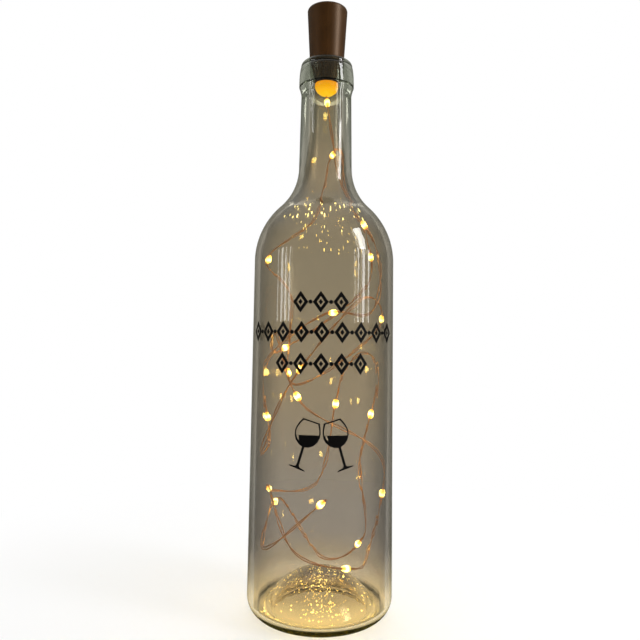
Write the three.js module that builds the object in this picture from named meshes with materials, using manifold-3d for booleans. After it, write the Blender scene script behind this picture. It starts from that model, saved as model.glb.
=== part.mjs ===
// Bottle light: a clear 75 cl wine bottle whose cork-shaped stopper holds three button cells and a
// slide switch, and feeds a string of small warm lamps that lies in loose loops inside the glass.
// Millimetres, +Z up. The origin is on the table, under the middle of the bottle.

import * as THREE from 'three';
import { mergeVertices } from 'three/addons/utils/BufferGeometryUtils.js';
import Module from 'manifold-3d';

// Running and seating gap between neighbouring pieces
const CLEARANCE = 0.3;

// Bottle
const BOTTLE_HEIGHT = 294;
const BODY_RADIUS = 37.5;
const GLASS_WALL = 2.8;
const HEEL_FILLET = 9.5;
const BEARING_WIDTH = 2.5;
const PUNT_HEIGHT = 17;
const PUNT_THICKNESS = 4.5;
const FLOOR_FILLET = 4;
const SHOULDER_START = 182;
const SHOULDER_ARC = 40;
const NECK_ARC = 31;
const NECK_RADIUS = 14.5;
const NECK_TOP_RADIUS = 13.9;
const COLLAR_RADIUS = 15.2;
const COLLAR_HEIGHT = 14;
const COLLAR_STEP = 4.5;
const LIP_RADIUS = 14.3;
const LIP_FILLET = 2.4;
const MOUTH_FILLET = 1;
const BORE_RADIUS = 9.25;
const BORE_DEPTH = 42;

// Stopper: a plug that drops into the mouth and a handle that slips over its battery barrel
const PLUG_RADIUS = 7.3;
const PLUG_LENGTH = 12;
const PLUG_WALL = 1.4;
const PLUG_FLOOR = 2.4;
const PLUG_CHAMFER = 0.8;
const SEAT_HEIGHT = 2;
const SEAT_TAPER = 5;
const PARTITION = 2;
const PARTITION_HOLE_RADIUS = 2;
const BARREL_WALL = 1.8;
const HANDLE_FOOT_RADIUS = 9.5;
const HANDLE_TOP_RADIUS = 11.2;
const HANDLE_FILLET = 1.6;
const HANDLE_TOP_WALL = 2.7;
const SEAL_RADIUS = 7;
const SEAL_DROP = 5.7;
const SEAL_SPIGOT_RADIUS = 1.4;

// Batteries and contacts
const CELL_RADIUS = 5.8;
const CELL_HEIGHT = 5.4;
const CELL_CAP_RADIUS = 4.8;
const CELL_CAP_HEIGHT = 0.5;
const CELL_COUNT = 3;
const SPRING_HEIGHT = 4.4;
const SPRING_FOOT_RADIUS = 4.4;
const SPRING_TOP_RADIUS = 3;
const SPRING_WIRE_RADIUS = 0.25;
const SPRING_TURNS = 3;
const STRIP_WIDTH = 2;
const STRIP_THICKNESS = 0.3;
const STRIP_FOOT_LENGTH = 3.6;
const CONTACT_RADIUS = 4;
const CONTACT_THICKNESS = 0.3;

// Switch on its small round board
const BOARD_THICKNESS = 1.2;
const SWITCH_LENGTH = 8.6;
const SWITCH_WIDTH = 3.7;
const SWITCH_HEIGHT = 3.5;
const SWITCH_FLOOR = 1;
const SWITCH_HEADROOM = 0.4;
const SWITCH_TRAVEL = 2;
const SWITCH_CHAMBER_MARGIN = 1.3;
const KNOB_LENGTH = 2;
const KNOB_WIDTH = 1.7;
const KNOB_RISE = 1.2;
const KNOB_GROOVE = 0.3;
const RESISTOR_LENGTH = 3.2;
const RESISTOR_WIDTH = 1.6;
const RESISTOR_HEIGHT = 0.6;

// String of lamps: one twin wire, moulded lamp beads at an even pitch
const WIRE_RADIUS = 0.475;
const WIRE_SIDES = 6;
const STRING_STEPS = 191;
const LEAD_STEPS = 7;
const LAMP_COUNT = 20;
const LAMP_PITCH_STEPS = 10;
const LAMP_LENGTH = 5;
const LAMP_RADIUS = 1.5;
const LAMP_END_RADIUS = 1.1;

// Where the string lies, from the seal under the stopper down to its last lamp
const STRING_ROUTE = [
  [0, 0, 275.7], [5, -3, 242], [9.7, -8.5, 219.3], [29.2, -1.1, 187.9], [24.3, -17.7, 155],
  [0.4, -12.4, 153.4], [-30.5, -2.5, 127.1], [-27.4, -2.5, 89], [-29.2, -16.6, 84.4], [-14.3, -24.7, 120.6],
  [20.1, -16.1, 161.8], [30.5, 8.2, 145.7], [-16.8, 22.3, 114.6], [-19.2, 23.2, 164.5], [-32.1, 3.4, 183.5],
  [-5.6, 7.3, 208.2], [2.8, 8.1, 242], [8.2, -3.6, 243.1], [10.6, -4, 221.2], [23.5, 8.5, 198.6],
  [23.5, 12.8, 169.1], [-24.9, 15.7, 133.4], [-23.3, -17.3, 143.3], [-9.9, -21.3, 108.3], [29.9, -13.6, 80.7],
  [26, 6.2, 27.7], [14.4, -27, 30.8], [-12.5, -22.2, 36.8], [-27.3, -0.3, 62], [-27.4, 11.8, 57.8],
  [-1.1, 19.1, 62.8], [10.8, 21.3, 117.8], [24.4, 17.3, 133], [31.3, 7.3, 119.3], [20.7, 0.8, 76.6],
  [24.1, 11.6, 35.1], [2.1, 24.4, 18.2], [-23.4, 19, 52.1], [-26.7, -19.8, 37.6], [2.6, -31.5, 64.2],
];

// Fineness of round pieces
const GLASS_SIDES = 48;
const STOPPER_SIDES = 32;
const SMALL_SIDES = 24;
const LAMP_SIDES = 8;

const MATERIALS = {
  glass: material(0xd5d8cf, 0.04, 0, { transparent: true, opacity: 0.35 }),
  brownPlastic: material(0x3d291b, 0.38, 0),
  seal: material(0xf0b04a, 0.3, 0),
  copper: material(0xb9743c, 0.35, 0.8),
  lamp: material(0xffe3a6, 0.15, 0),
  steel: material(0xb9bcbf, 0.28, 1),
  board: material(0x2f5d3a, 0.55, 0),
  black: material(0x1d1c1b, 0.5, 0),
};

function material(color, roughness, metalness, more = {}) {
  return new THREE.MeshStandardMaterial({ color, roughness, metalness, ...more });
}

const wasm = await Module();
wasm.setup();

function piece(name, geometry, finish) {
  const mesh = new THREE.Mesh(geometry, finish);
  mesh.name = name;
  return mesh;
}

// Profile points are [radius, height]
function lathe(profile, sides) {
  const points = profile.map(([radius, height]) => new THREE.Vector2(radius, height));
  return new THREE.LatheGeometry(points, sides).rotateX(Math.PI / 2);
}

function ring(profile, sides) {
  return lathe([...profile, profile[0]], sides);
}

// Points along an arc in a profile, angles in degrees from the outward direction
function arc(centreRadius, centreHeight, radius, from, to, steps) {
  return Array.from({ length: steps + 1 }, (_, i) => {
    const angle = THREE.MathUtils.degToRad(from + ((to - from) * i) / steps);
    return [centreRadius + radius * Math.cos(angle), centreHeight + radius * Math.sin(angle)];
  });
}

// A block given by its lowest and highest corners
function block([x0, y0, z0], [x1, y1, z1]) {
  const box = new THREE.BoxGeometry(x1 - x0, y1 - y0, z1 - z0);
  return box.translate((x0 + x1) / 2, (y0 + y1) / 2, (z0 + z1) / 2);
}

function solid(geometry) {
  const bare = geometry.clone();
  bare.deleteAttribute('normal');
  bare.deleteAttribute('uv');
  const merged = mergeVertices(bare, 1e-4);
  const corners = merged.index.array;
  const triVerts = [];
  for (let i = 0; i < corners.length; i += 3) {
    const [a, b, c] = [corners[i], corners[i + 1], corners[i + 2]];
    if (a !== b && b !== c && c !== a) triVerts.push(a, b, c);
  }
  return new wasm.Manifold(new wasm.Mesh({
    numProp: 3,
    vertProperties: new Float32Array(merged.attributes.position.array),
    triVerts: new Uint32Array(triVerts),
  }));
}

function cut(geometry, ...tools) {
  const left = tools.reduce((rest, tool) => rest.subtract(solid(tool)), solid(geometry));
  return geometryOf(left);
}

function join(...geometries) {
  return geometryOf(geometries.map(solid).reduce((sum, next) => sum.add(next)));
}

function geometryOf(manifold) {
  const mesh = manifold.getMesh();
  const geometry = new THREE.BufferGeometry();
  geometry.setAttribute('position', new THREE.BufferAttribute(mesh.vertProperties, 3));
  geometry.setIndex(new THREE.BufferAttribute(mesh.triVerts, 1));
  geometry.computeVertexNormals();
  return geometry;
}

function polygon(radius, sides) {
  const corners = Array.from({ length: sides }, (_, i) => {
    const angle = (2 * Math.PI * i) / sides;
    return new THREE.Vector2(radius * Math.cos(angle), radius * Math.sin(angle));
  });
  return new THREE.Shape(corners);
}

function tube(path, radius, sides, steps) {
  return new THREE.ExtrudeGeometry(polygon(radius, sides), { steps, extrudePath: path });
}

class ConicalHelix extends THREE.Curve {
  constructor(footRadius, topRadius, footZ, topZ, turns) {
    super();
    Object.assign(this, { footRadius, topRadius, footZ, topZ, turns });
  }

  getPoint(t, target = new THREE.Vector3()) {
    const radius = THREE.MathUtils.lerp(this.footRadius, this.topRadius, t);
    const angle = 2 * Math.PI * this.turns * t;
    const z = THREE.MathUtils.lerp(this.footZ, this.topZ, t);
    return target.set(radius * Math.cos(angle), radius * Math.sin(angle), z);
  }
}

// Bottle: one wall of glass, from the punt over the heel, body, shoulder, neck and collar to the
// mouth, and back down inside
function bottle() {
  const sweep = THREE.MathUtils.radToDeg(
    Math.acos(1 - (BODY_RADIUS - NECK_RADIUS) / (SHOULDER_ARC + NECK_ARC)),
  );
  const rise = Math.sin(THREE.MathUtils.degToRad(sweep));
  const shoulderCentre = BODY_RADIUS - SHOULDER_ARC;
  const neckCentre = NECK_RADIUS + NECK_ARC;
  const neckStart = SHOULDER_START + (SHOULDER_ARC + NECK_ARC) * rise;
  const collarFoot = BOTTLE_HEIGHT - COLLAR_HEIGHT;

  const heelCentre = BODY_RADIUS - HEEL_FILLET;
  const puntRadius = heelCentre - BEARING_WIDTH;
  const domeRadius = (puntRadius ** 2 + PUNT_HEIGHT ** 2) / (2 * PUNT_HEIGHT);
  const domeCentre = PUNT_HEIGHT - domeRadius;
  const domeEdge = THREE.MathUtils.radToDeg(Math.atan2(-domeCentre, puntRadius));

  const innerRadius = BODY_RADIUS - GLASS_WALL;
  const innerDome = domeRadius + PUNT_THICKNESS;
  const valleyCentre = innerRadius - FLOOR_FILLET;
  const reach = innerDome + FLOOR_FILLET;
  const valleyHeight = domeCentre + Math.sqrt(reach ** 2 - valleyCentre ** 2);
  const valleyAngle = THREE.MathUtils.radToDeg(Math.acos(valleyCentre / reach));

  const outside = [
    ...arc(0, domeCentre, domeRadius, 90, domeEdge, 6),
    ...arc(heelCentre, HEEL_FILLET, HEEL_FILLET, -90, 0, 6),
    ...arc(shoulderCentre, SHOULDER_START, SHOULDER_ARC, 0, sweep, 7),
    ...arc(neckCentre, neckStart, NECK_ARC, 180 + sweep, 180, 6).slice(1),
    [NECK_TOP_RADIUS, collarFoot - COLLAR_STEP],
    [COLLAR_RADIUS, collarFoot],
    [COLLAR_RADIUS, collarFoot + COLLAR_HEIGHT / 2],
    ...arc(LIP_RADIUS - LIP_FILLET, BOTTLE_HEIGHT - LIP_FILLET, LIP_FILLET, 0, 90, 3),
  ];
  const inside = [
    ...arc(BORE_RADIUS + MOUTH_FILLET, BOTTLE_HEIGHT - MOUTH_FILLET, MOUTH_FILLET, 90, 180, 2),
    [BORE_RADIUS, BOTTLE_HEIGHT - BORE_DEPTH],
    ...arc(neckCentre, neckStart, NECK_ARC + GLASS_WALL, 180, 180 + sweep, 6),
    ...arc(shoulderCentre, SHOULDER_START, SHOULDER_ARC - GLASS_WALL, sweep, 0, 7).slice(1),
    ...arc(valleyCentre, valleyHeight, FLOOR_FILLET, 0, valleyAngle - 180, 5),
    ...arc(0, domeCentre, innerDome, valleyAngle, 90, 5).slice(1),
  ];
  const profile = [...outside, ...inside];
  profile[0][0] = 0;
  profile[profile.length - 1][0] = 0;
  return piece('bottle', lathe(profile, GLASS_SIDES), MATERIALS.glass);
}

// Heights inside the stopper, up from the lip of the bottle
const plugFoot = -PLUG_LENGTH;
const chamberFloor = plugFoot + PLUG_FLOOR;
const stripFoot = CLEARANCE;
const springFoot = stripFoot + STRIP_THICKNESS + CLEARANCE;
const cellFoot = springFoot + SPRING_HEIGHT + CLEARANCE;
const cellPitch = CELL_HEIGHT + CLEARANCE;
const contactFoot = cellFoot + CELL_COUNT * cellPitch;
const barrelTop = contactFoot + CONTACT_THICKNESS;
const boardFoot = barrelTop + CLEARANCE;
const boardTop = boardFoot + BOARD_THICKNESS;
const switchFoot = boardTop + CLEARANCE;
const switchTop = switchFoot + SWITCH_HEIGHT;
const handleCeiling = switchTop + SWITCH_HEADROOM;
const handleTop = handleCeiling + HANDLE_TOP_WALL;

const cellBore = CELL_RADIUS + CLEARANCE;
const barrelRadius = cellBore + BARREL_WALL;
const chamberRadius = PLUG_RADIUS - PLUG_WALL;
const leadPlace = CELL_RADIUS + CLEARANCE + WIRE_RADIUS;
const leadEntry = chamberRadius - CLEARANCE - WIRE_RADIUS;
const slotLength = KNOB_LENGTH + SWITCH_TRAVEL + 2 * CLEARANCE;
const slotWidth = KNOB_WIDTH + 2 * CLEARANCE;

// Plug and battery barrel in one moulding, open along one side so that the cells slip in
function plugBody() {
  const seatRadius = BORE_RADIUS - CLEARANCE;
  const wireHole = SEAL_SPIGOT_RADIUS + CLEARANCE;
  const body = ring([
    [wireHole, plugFoot],
    [PLUG_RADIUS - PLUG_CHAMFER, plugFoot],
    [PLUG_RADIUS, plugFoot + PLUG_CHAMFER],
    [PLUG_RADIUS, -SEAT_HEIGHT - SEAT_TAPER],
    [seatRadius, -SEAT_HEIGHT],
    [seatRadius, 0],
    [barrelRadius, 0],
    [barrelRadius, barrelTop],
    [cellBore, barrelTop],
    [cellBore, 0],
    [PARTITION_HOLE_RADIUS, 0],
    [PARTITION_HOLE_RADIUS, -PARTITION],
    [chamberRadius, -PARTITION],
    [chamberRadius, chamberFloor],
    [wireHole, chamberFloor],
  ], STOPPER_SIDES);
  const window = block(
    [-cellBore, 0, cellFoot - CLEARANCE],
    [cellBore, 2 * barrelRadius, contactFoot],
  );
  const stripReach = cellBore + STRIP_THICKNESS + CLEARANCE;
  const stripGroove = block(
    [CELL_RADIUS, -STRIP_WIDTH / 2 - CLEARANCE, 0],
    [stripReach, STRIP_WIDTH / 2 + CLEARANCE, barrelTop + CLEARANCE],
  );
  const leadHalf = WIRE_RADIUS + CLEARANCE;
  const leadGroove = block(
    [-leadPlace - leadHalf, -leadHalf, -PARTITION - CLEARANCE],
    [-leadEntry + leadHalf, leadHalf, barrelTop + CLEARANCE],
  );
  return piece('plug_body', cut(body, window, stripGroove, leadGroove), MATERIALS.brownPlastic);
}

// Cork-shaped handle with a rounded top edge and a slot for the switch
function handleCover() {
  const bore = barrelRadius + CLEARANCE;
  const chamber = Math.hypot(SWITCH_LENGTH, SWITCH_WIDTH) / 2 + SWITCH_CHAMBER_MARGIN;
  const shell = lathe([
    [0, handleCeiling],
    [chamber, handleCeiling],
    [chamber, boardTop + CLEARANCE],
    [bore, boardTop + CLEARANCE],
    [bore, CLEARANCE],
    [HANDLE_FOOT_RADIUS, CLEARANCE],
    ...arc(HANDLE_TOP_RADIUS - HANDLE_FILLET, handleTop - HANDLE_FILLET, HANDLE_FILLET, 0, 90, 4),
    [0, handleTop],
  ], STOPPER_SIDES);
  const slot = block(
    [-slotLength / 2, -slotWidth / 2, handleCeiling - CLEARANCE],
    [slotLength / 2, slotWidth / 2, handleTop + CLEARANCE],
  );
  return piece('handle_cover', cut(shell, slot), MATERIALS.brownPlastic);
}

// Dome of clear amber sealant that grips the wire under the plug
function wireSeal() {
  const top = plugFoot - CLEARANCE;
  const dome = Array.from({ length: 7 }, (_, i) => {
    const angle = (Math.PI / 2) * (i / 6);
    return [SEAL_RADIUS * Math.sin(angle), top - SEAL_DROP * Math.cos(angle)];
  });
  const profile = [
    ...dome,
    [SEAL_SPIGOT_RADIUS, top],
    [SEAL_SPIGOT_RADIUS, chamberFloor],
    [0, chamberFloor],
  ];
  return piece('wire_seal', lathe(profile, SMALL_SIDES), MATERIALS.seal);
}

// Twin lead from the seal through a notch in the partition and up a groove of the barrel to the board
function innerLead() {
  const start = new THREE.Vector3(0, 0, chamberFloor + CLEARANCE);
  const notch = new THREE.Vector3(-leadEntry, 0, -PARTITION - CLEARANCE);
  const riser = new THREE.Vector3(-leadPlace, 0, cellFoot - CLEARANCE);
  const end = new THREE.Vector3(-leadPlace, 0, boardFoot - CLEARANCE);
  const path = new THREE.CurvePath();
  path.add(upwardBend(start, notch));
  path.add(upwardBend(notch, riser));
  path.add(new THREE.LineCurve3(riser, end));
  return piece('inner_lead', tube(path, WIRE_RADIUS, WIRE_SIDES, 24), MATERIALS.copper);
}

// An S-bend that leaves and arrives upright
function upwardBend(from, to) {
  const reach = new THREE.Vector3(0, 0, (to.z - from.z) / 2);
  return new THREE.CubicBezierCurve3(from, from.clone().add(reach), to.clone().sub(reach), to);
}

// Flat strip from under the spring up to the board
function negativeStrip() {
  const outer = cellBore + STRIP_THICKNESS;
  const half = STRIP_WIDTH / 2;
  const foot = block(
    [outer - STRIP_FOOT_LENGTH, -half, stripFoot],
    [outer, half, stripFoot + STRIP_THICKNESS],
  );
  const upright = block([cellBore, -half, stripFoot], [outer, half, boardFoot - CLEARANCE]);
  return piece('negative_strip', join(foot, upright), MATERIALS.steel);
}

function batterySpring() {
  const helix = new ConicalHelix(
    SPRING_FOOT_RADIUS,
    SPRING_TOP_RADIUS,
    springFoot + SPRING_WIRE_RADIUS,
    springFoot + SPRING_HEIGHT - SPRING_WIRE_RADIUS,
    SPRING_TURNS,
  );
  return piece('battery_spring', tube(helix, SPRING_WIRE_RADIUS, 5, 10 * SPRING_TURNS), MATERIALS.steel);
}

function buttonCell(index) {
  const foot = cellFoot + index * cellPitch;
  const profile = [
    [0, foot],
    [CELL_CAP_RADIUS, foot],
    [CELL_CAP_RADIUS, foot + CELL_CAP_HEIGHT],
    [CELL_RADIUS, foot + CELL_CAP_HEIGHT],
    [CELL_RADIUS, foot + CELL_HEIGHT],
    [0, foot + CELL_HEIGHT],
  ];
  return piece(`button_cell_${index + 1}`, lathe(profile, SMALL_SIDES), MATERIALS.steel);
}

function disc(name, radius, foot, thickness, finish) {
  const profile = [[0, foot], [radius, foot], [radius, foot + thickness], [0, foot + thickness]];
  return piece(name, lathe(profile, SMALL_SIDES), finish);
}

function switchHousing() {
  const body = block(
    [-SWITCH_LENGTH / 2, -SWITCH_WIDTH / 2, switchFoot],
    [SWITCH_LENGTH / 2, SWITCH_WIDTH / 2, switchTop],
  );
  const well = block(
    [-slotLength / 2, -slotWidth / 2, switchFoot + SWITCH_FLOOR],
    [slotLength / 2, slotWidth / 2, switchTop + CLEARANCE],
  );
  return piece('switch_housing', cut(body, well), MATERIALS.steel);
}

// Thumb slide, drawn in its ON place, with two grip grooves across its top
function switchKnob() {
  const foot = switchFoot + SWITCH_FLOOR + CLEARANCE;
  const top = handleTop + KNOB_RISE;
  const rib = KNOB_LENGTH / 5;
  const half = KNOB_LENGTH / 2;
  const side = new THREE.Shape();
  side.moveTo(-half, foot);
  side.lineTo(half, foot);
  side.lineTo(half, top);
  for (const start of [half - rib, half - 3 * rib]) {
    side.lineTo(start, top);
    side.lineTo(start, top - KNOB_GROOVE);
    side.lineTo(start - rib, top - KNOB_GROOVE);
    side.lineTo(start - rib, top);
  }
  side.lineTo(-half, top);
  const knob = new THREE.ExtrudeGeometry(side, { depth: KNOB_WIDTH, bevelEnabled: false });
  knob.translate(0, 0, -KNOB_WIDTH / 2).rotateX(Math.PI / 2);
  const mesh = piece('switch_knob', knob, MATERIALS.black);
  mesh.position.x = SWITCH_TRAVEL / 2;
  return mesh;
}

function resistor() {
  const near = SWITCH_WIDTH / 2 + SWITCH_CHAMBER_MARGIN;
  const chip = block(
    [-RESISTOR_LENGTH / 2, near, switchFoot],
    [RESISTOR_LENGTH / 2, near + RESISTOR_WIDTH, switchFoot + RESISTOR_HEIGHT],
  );
  return piece('resistor', chip, MATERIALS.black);
}

function stopper() {
  const group = new THREE.Group();
  group.add(plugBody(), handleCover(), wireSeal(), innerLead(), negativeStrip(), batterySpring());
  for (let i = 0; i < CELL_COUNT; i += 1) group.add(buttonCell(i));
  group.add(disc('top_contact', CONTACT_RADIUS, contactFoot, CONTACT_THICKNESS, MATERIALS.steel));
  group.add(disc('switch_board', barrelRadius - CLEARANCE, boardFoot, BOARD_THICKNESS, MATERIALS.board));
  group.add(switchHousing(), switchKnob(), resistor());
  group.position.z = BOTTLE_HEIGHT;
  return group;
}

// String: points at even steps along one smooth curve
const route = new THREE.CatmullRomCurve3(
  STRING_ROUTE.map((point) => new THREE.Vector3(...point)), false, 'catmullrom', 0.5,
);
route.arcLengthDivisions = 4000;
const stringPoints = route.getSpacedPoints(STRING_STEPS);

function wire(name, points) {
  const path = new THREE.CatmullRomCurve3(points);
  path.arcLengthDivisions = 20 * points.length;
  return piece(name, tube(path, WIRE_RADIUS, WIRE_SIDES, points.length - 1), MATERIALS.copper);
}

// The first stretch of the string, which stretches and slackens as the stopper is lifted
function leadWire() {
  return wire('lead_wire', stringPoints.slice(0, LEAD_STEPS + 1));
}

function stringWire() {
  const points = stringPoints.slice(LEAD_STEPS).map((point) => point.clone());
  const onward = points[1].clone().sub(points[0]).setLength(CLEARANCE);
  points[0].add(onward);
  return wire('string_wire', points);
}

// Lamp beads sit round the wire in the middle of a straight step
function lamp(index) {
  const bore = WIRE_RADIUS + CLEARANCE;
  const half = LAMP_LENGTH / 2;
  const bead = ring([
    [bore, -half],
    [LAMP_END_RADIUS, -half],
    [LAMP_RADIUS, -half / 2],
    [LAMP_RADIUS, half / 2],
    [LAMP_END_RADIUS, half],
    [bore, half],
  ], LAMP_SIDES);
  const from = stringPoints[index * LAMP_PITCH_STEPS];
  const to = stringPoints[index * LAMP_PITCH_STEPS + 1];
  const mesh = piece(`led_${String(index + 1).padStart(2, '0')}`, bead, MATERIALS.lamp);
  mesh.position.copy(from).lerp(to, 0.5);
  const along = to.clone().sub(from).normalize();
  mesh.quaternion.setFromUnitVectors(new THREE.Vector3(0, 0, 1), along);
  return mesh;
}

// The least gap between two stretches of the wire that are well apart along it
function leastGap() {
  const points = route.getSpacedPoints(4 * STRING_STEPS);
  let least = Infinity;
  for (let i = 0; i < points.length; i += 1) {
    for (let j = i + 8; j < points.length; j += 1) {
      least = Math.min(least, points[i].distanceTo(points[j]));
    }
  }
  return least - 2 * WIRE_RADIUS;
}

const bottleLight = new THREE.Group();
bottleLight.add(bottle(), stopper(), leadWire(), stringWire());
for (let i = 0; i < LAMP_COUNT; i += 1) bottleLight.add(lamp(i));

console.log(`String ${route.getLength().toFixed(1)} mm, least gap to itself ${leastGap().toFixed(2)} mm`);

export default bottleLight;
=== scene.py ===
# %% [markdown]
# # A bottle light
# A clear wine bottle with a cork-shaped battery stopper and a string of small warm lamps looped inside.
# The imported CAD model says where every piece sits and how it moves. This lesson dresses it: glass with
# real walls, copper wire, glowing resin lamps, black vinyl print and a satin brown stopper.

import math

import bmesh
import bpy
import numpy as np
from mathutils import Matrix, Vector


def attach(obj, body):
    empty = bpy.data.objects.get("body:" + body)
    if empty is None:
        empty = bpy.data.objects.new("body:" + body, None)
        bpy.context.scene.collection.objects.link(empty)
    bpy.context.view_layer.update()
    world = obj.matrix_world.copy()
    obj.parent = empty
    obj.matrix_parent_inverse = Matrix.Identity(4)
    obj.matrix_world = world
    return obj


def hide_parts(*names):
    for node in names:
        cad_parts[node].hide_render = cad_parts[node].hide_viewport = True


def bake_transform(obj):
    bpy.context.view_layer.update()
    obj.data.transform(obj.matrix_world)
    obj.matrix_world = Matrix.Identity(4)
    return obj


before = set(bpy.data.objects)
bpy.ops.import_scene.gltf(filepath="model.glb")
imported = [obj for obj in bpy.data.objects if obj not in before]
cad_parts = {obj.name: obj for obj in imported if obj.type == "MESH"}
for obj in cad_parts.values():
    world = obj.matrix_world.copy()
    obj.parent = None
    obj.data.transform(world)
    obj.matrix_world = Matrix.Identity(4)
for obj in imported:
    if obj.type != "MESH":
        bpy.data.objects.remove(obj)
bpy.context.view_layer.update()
scene = bpy.context.scene
scene.view_settings.view_transform = "Standard"
MM = 0.001

# %% [markdown]
# ## Camera
# The photograph was taken from close by, a little below the middle of the bottle and looking slightly up,
# which is why the sides splay towards the top. A camera can be turned by eye, but here its place, lens and
# small tilt were fitted to the bottle's outline, so the render can be laid over the photograph.

# %% Camera
FRAME_PX = 640
FOCAL_PX = 635.8
AXIS_PX = (323.8, 280)
CAMERA_PLACE = (0, -0.3445, 0.1426)
LOOK_UP, ROLL = 4.962, 0.81  # degrees

lens = bpy.data.cameras.new("photo_camera")
lens.sensor_width = 36
lens.lens = lens.sensor_width * FOCAL_PX / FRAME_PX
lens.shift_x = 0.5 - AXIS_PX[0] / FRAME_PX
lens.shift_y = AXIS_PX[1] / FRAME_PX - 0.5
lens.clip_start = 0.01
camera = bpy.data.objects.new("photo_camera", lens)
scene.collection.objects.link(camera)
scene.camera = camera
pitch, roll = math.radians(90 + LOOK_UP), math.radians(ROLL)
camera.matrix_world = (
    Matrix.Translation(CAMERA_PLACE) @ Matrix.Rotation(pitch, 4, "X") @ Matrix.Rotation(roll, 4, "Z")
)
print("lens, mm:", round(lens.lens, 2))

# %% [markdown]
# ## Helpers for colour, nodes and meshes
# Colours are written as the hex values that a picture shows, and one function turns them to the linear
# values that Blender mixes. One more adds a shader node, sets it and links it in a single line. Round pieces
# are turned on a lathe: a line of points spun about Z.

# %% Colour and nodes
def colour(hex_code):
    """Linear RGBA of an sRGB hex colour."""
    shares = [int(hex_code[i:i + 2], 16) / 255 for i in (1, 3, 5)]
    return [s / 12.92 if s <= 0.04045 else ((s + 0.055) / 1.055) ** 2.4 for s in shares] + [1]


def add_node(tree, kind, inputs=None, stops=(), **settings):
    """Adds a node with its settings. An input is a value, or the socket that feeds it; stops fill a ramp."""
    node = tree.nodes.new(kind)
    for name, value in settings.items():
        setattr(node, name, value)
    for name, value in (inputs or {}).items():
        if isinstance(value, bpy.types.NodeSocket):
            tree.links.new(value, node.inputs[name])
        else:
            node.inputs[name].default_value = value
    for index, (at, tone) in enumerate(stops):
        marks = node.color_ramp.elements
        mark = marks[index] if index < 2 else marks.new(at)
        mark.position, mark.color = at, colour(tone)
    return node


def new_material(name):
    """An empty node material and its tree."""
    material = bpy.data.materials.new(name)
    material.use_nodes = True
    material.node_tree.nodes.clear()
    return material, material.node_tree


print("mid grey #808080 in linear light:", round(colour("#808080")[0], 3))

# %% Round shapes and pieces
CREASE = 40


def arc(centre_radius, centre_height, radius, start, end, steps):
    """Profile points along an arc, angles in degrees from the outward direction."""
    turns = [math.radians(start + (end - start) * i / steps) for i in range(steps + 1)]
    return [(centre_radius + radius * math.cos(t), centre_height + radius * math.sin(t)) for t in turns]


def lathe(profile, sides):
    """Spins (radius, height) points in millimetres about Z into a bmesh."""
    shape = bmesh.new()
    line = [shape.verts.new((radius * MM, 0, height * MM)) for radius, height in profile]
    edges = [shape.edges.new(pair) for pair in zip(line, line[1:])]
    bmesh.ops.spin(
        shape, geom=line + edges, axis=(0, 0, 1), cent=(0, 0, 0), steps=sides, angle=2 * math.pi, use_merge=True
    )
    bmesh.ops.remove_doubles(shape, verts=shape.verts, dist=1e-7)
    return shape


def make_piece(name, shape, material, crease=CREASE):
    """A mesh object from a bmesh, shaded smooth except at creases sharper than so many degrees."""
    bmesh.ops.recalc_face_normals(shape, faces=shape.faces)
    mesh = bpy.data.meshes.new(name)
    shape.to_mesh(mesh)
    shape.free()
    mesh.shade_smooth()
    mesh.set_sharp_from_angle(angle=math.radians(crease))
    mesh.materials.append(material)
    piece = bpy.data.objects.new(name, mesh)
    scene.collection.objects.link(piece)
    return piece


# %% [markdown]
# ## Studio
# A glass bottle is mostly a picture of its room, so the room is kept plain: a white floor that runs out into
# a white surround, and a few narrow upright soft boxes on each side, whose reflections draw the fine upright
# streaks on the glass. A wider one on the right gives the stopper its pale band. The surround is white for
# the camera, for reflections and for what is seen through glass, while its light on the object stays at a
# plain level.

# %% Surround
AMBIENT = 0.5


def background_rays(tree):
    """1 for rays that show the background: straight, mirrored or through glass."""
    rays = add_node(tree, "ShaderNodeLightPath").outputs
    open_rays = add_node(
        tree, "ShaderNodeMath", {0: rays["Is Camera Ray"], 1: rays["Is Glossy Ray"]}, operation="ADD"
    )
    all_rays = add_node(
        tree, "ShaderNodeMath", {0: open_rays.outputs[0], 1: rays["Is Transmission Ray"]},
        operation="ADD", use_clamp=True,
    )
    return all_rays.outputs[0]


world = bpy.data.worlds.new("white_surround")
world.use_nodes = True
scene.world = world
tree = world.node_tree
tree.nodes.clear()
strength = add_node(
    tree, "ShaderNodeMapRange", {"Value": background_rays(tree), "To Min": AMBIENT, "To Max": 1}
)
surround = add_node(tree, "ShaderNodeBackground", {"Color": (1, 1, 1, 1), "Strength": strength.outputs[0]})
add_node(tree, "ShaderNodeOutputWorld", {"Surface": surround.outputs[0]})
print("light of the surround on the object:", AMBIENT)

# %% Floor
SHADED, WHITE = 0.06, 0.30  # metres from the bottle's foot
FLOOR_HALF, FLOOR_DROP = 4, 0.05 * MM

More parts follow.
